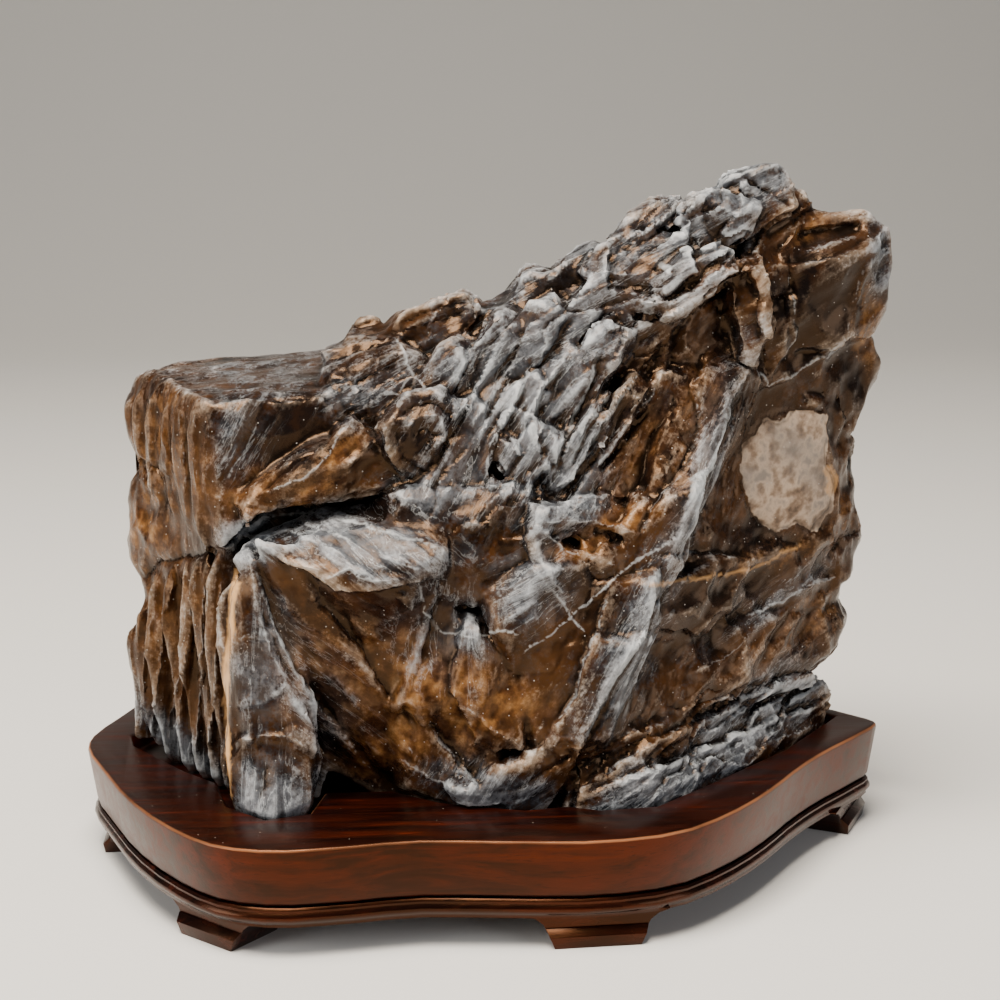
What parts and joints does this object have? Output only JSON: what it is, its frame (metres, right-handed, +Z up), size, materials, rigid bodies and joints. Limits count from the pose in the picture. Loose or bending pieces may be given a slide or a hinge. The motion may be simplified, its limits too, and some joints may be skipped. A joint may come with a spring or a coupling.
{
  "type": "scholars rock",
  "caption": "Tall craggy scholar's rock with a flat-topped shoulder and a climbing ridge, standing in a recess of a carved wooden stand with a beaded edge and low bracket feet",
  "frame": {"origin": "middle of the bounding box, on the floor under the feet", "axes": "+X along the stand's long side, towards the peak of the rock; +Y towards the back; +Z up"},
  "size_m": [0.1642, 0.1223, 0.1381],
  "materials": {
    "stone": "satin",
    "board_wood": "satin",
    "frame_wood": "glossy"
  },
  "bodies": {
    "root": {"rock": "stone", "seat_board": "board_wood", "foot_frame": "frame_wood"}
  },
  "joints": []
}
